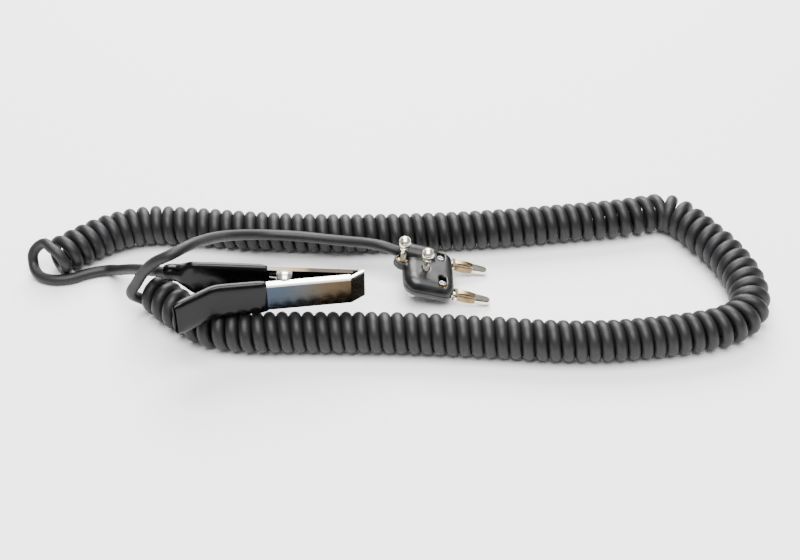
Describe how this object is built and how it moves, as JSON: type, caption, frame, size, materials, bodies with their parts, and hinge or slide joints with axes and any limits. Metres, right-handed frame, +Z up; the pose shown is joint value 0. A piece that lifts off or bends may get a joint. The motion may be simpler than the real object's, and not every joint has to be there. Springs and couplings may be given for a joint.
{
  "type": "retractile grounding cord",
  "caption": "Curly grounding cord with a spring clip with sleeved handles at one end and a flat twin-pin plug with thumbscrews at the other.",
  "frame": {"origin": "centre of the footprint of clip and plug, on the surface that the cord lies on", "axes": "+X from the clip's handles towards the plug's pins, +Y away from the viewer, +Z up"},
  "size_m": [0.3013, 0.0975, 0.0362],
  "materials": {
    "nickel_plate": "bright",
    "vinyl_sleeve": "gloss",
    "spring_wire": "satin",
    "tinned_copper": "satin",
    "cord_jacket": "satin",
    "moulded_shell": "satin",
    "pin_plate": "bright",
    "brass": "satin",
    "screw_steel": "satin",
    "thumbscrew_plate": "bright"
  },
  "bodies": {
    "root": {"far_lever": "nickel_plate", "far_grip": "vinyl_sleeve", "pivot_rivet": "nickel_plate", "torsion_spring": "spring_wire", "crimp_ferrule": "tinned_copper", "clip_conductor": "tinned_copper", "clip_lead": "cord_jacket", "curly_coil": "cord_jacket", "plug_lead": "cord_jacket", "plug_base": "moulded_shell", "plug_cover": "moulded_shell", "front_pin": "pin_plate", "rear_pin": "pin_plate", "front_pin_spring": "pin_plate", "rear_pin_spring": "pin_plate", "front_terminal": "brass", "rear_terminal": "brass", "set_screws": "screw_steel", "contact_strap": "brass", "clamp_block": "brass", "lug_bush": "brass", "plug_conductor": "tinned_copper", "assembly_screws": "screw_steel"},
    "near_jaw": {"near_lever": "nickel_plate", "near_grip": "vinyl_sleeve"},
    "cord_screw": {"cord_thumbscrew": "thumbscrew_plate"},
    "middle_screw": {"middle_thumbscrew": "thumbscrew_plate"}
  },
  "joints": [
    {"name": "jaw_hinge", "type": "hinge", "parent": "root", "child": "near_jaw", "pos_m": [-0.0165, -0.0097, 0.024], "axis": [0, 0, -1], "range_deg": [0, 18], "stiffness_Nm_per_rad": 0.4, "springref_deg": -68.75, "deforming": ["torsion_spring"]},
    {"name": "cord_thumbscrew_turn", "type": "hinge", "parent": "root", "child": "cord_screw", "pos_m": [0.02893, 0.01928, 0.01611], "axis": [0.1045, 0.0027, 0.9945], "range_deg": [0, 1080]},
    {"name": "middle_thumbscrew_turn", "type": "hinge", "parent": "root", "child": "middle_screw", "pos_m": [0.03809, 0.01492, 0.01352], "axis": [0.1045, 0.0027, 0.9945], "range_deg": [0, 1080]}
  ]
}
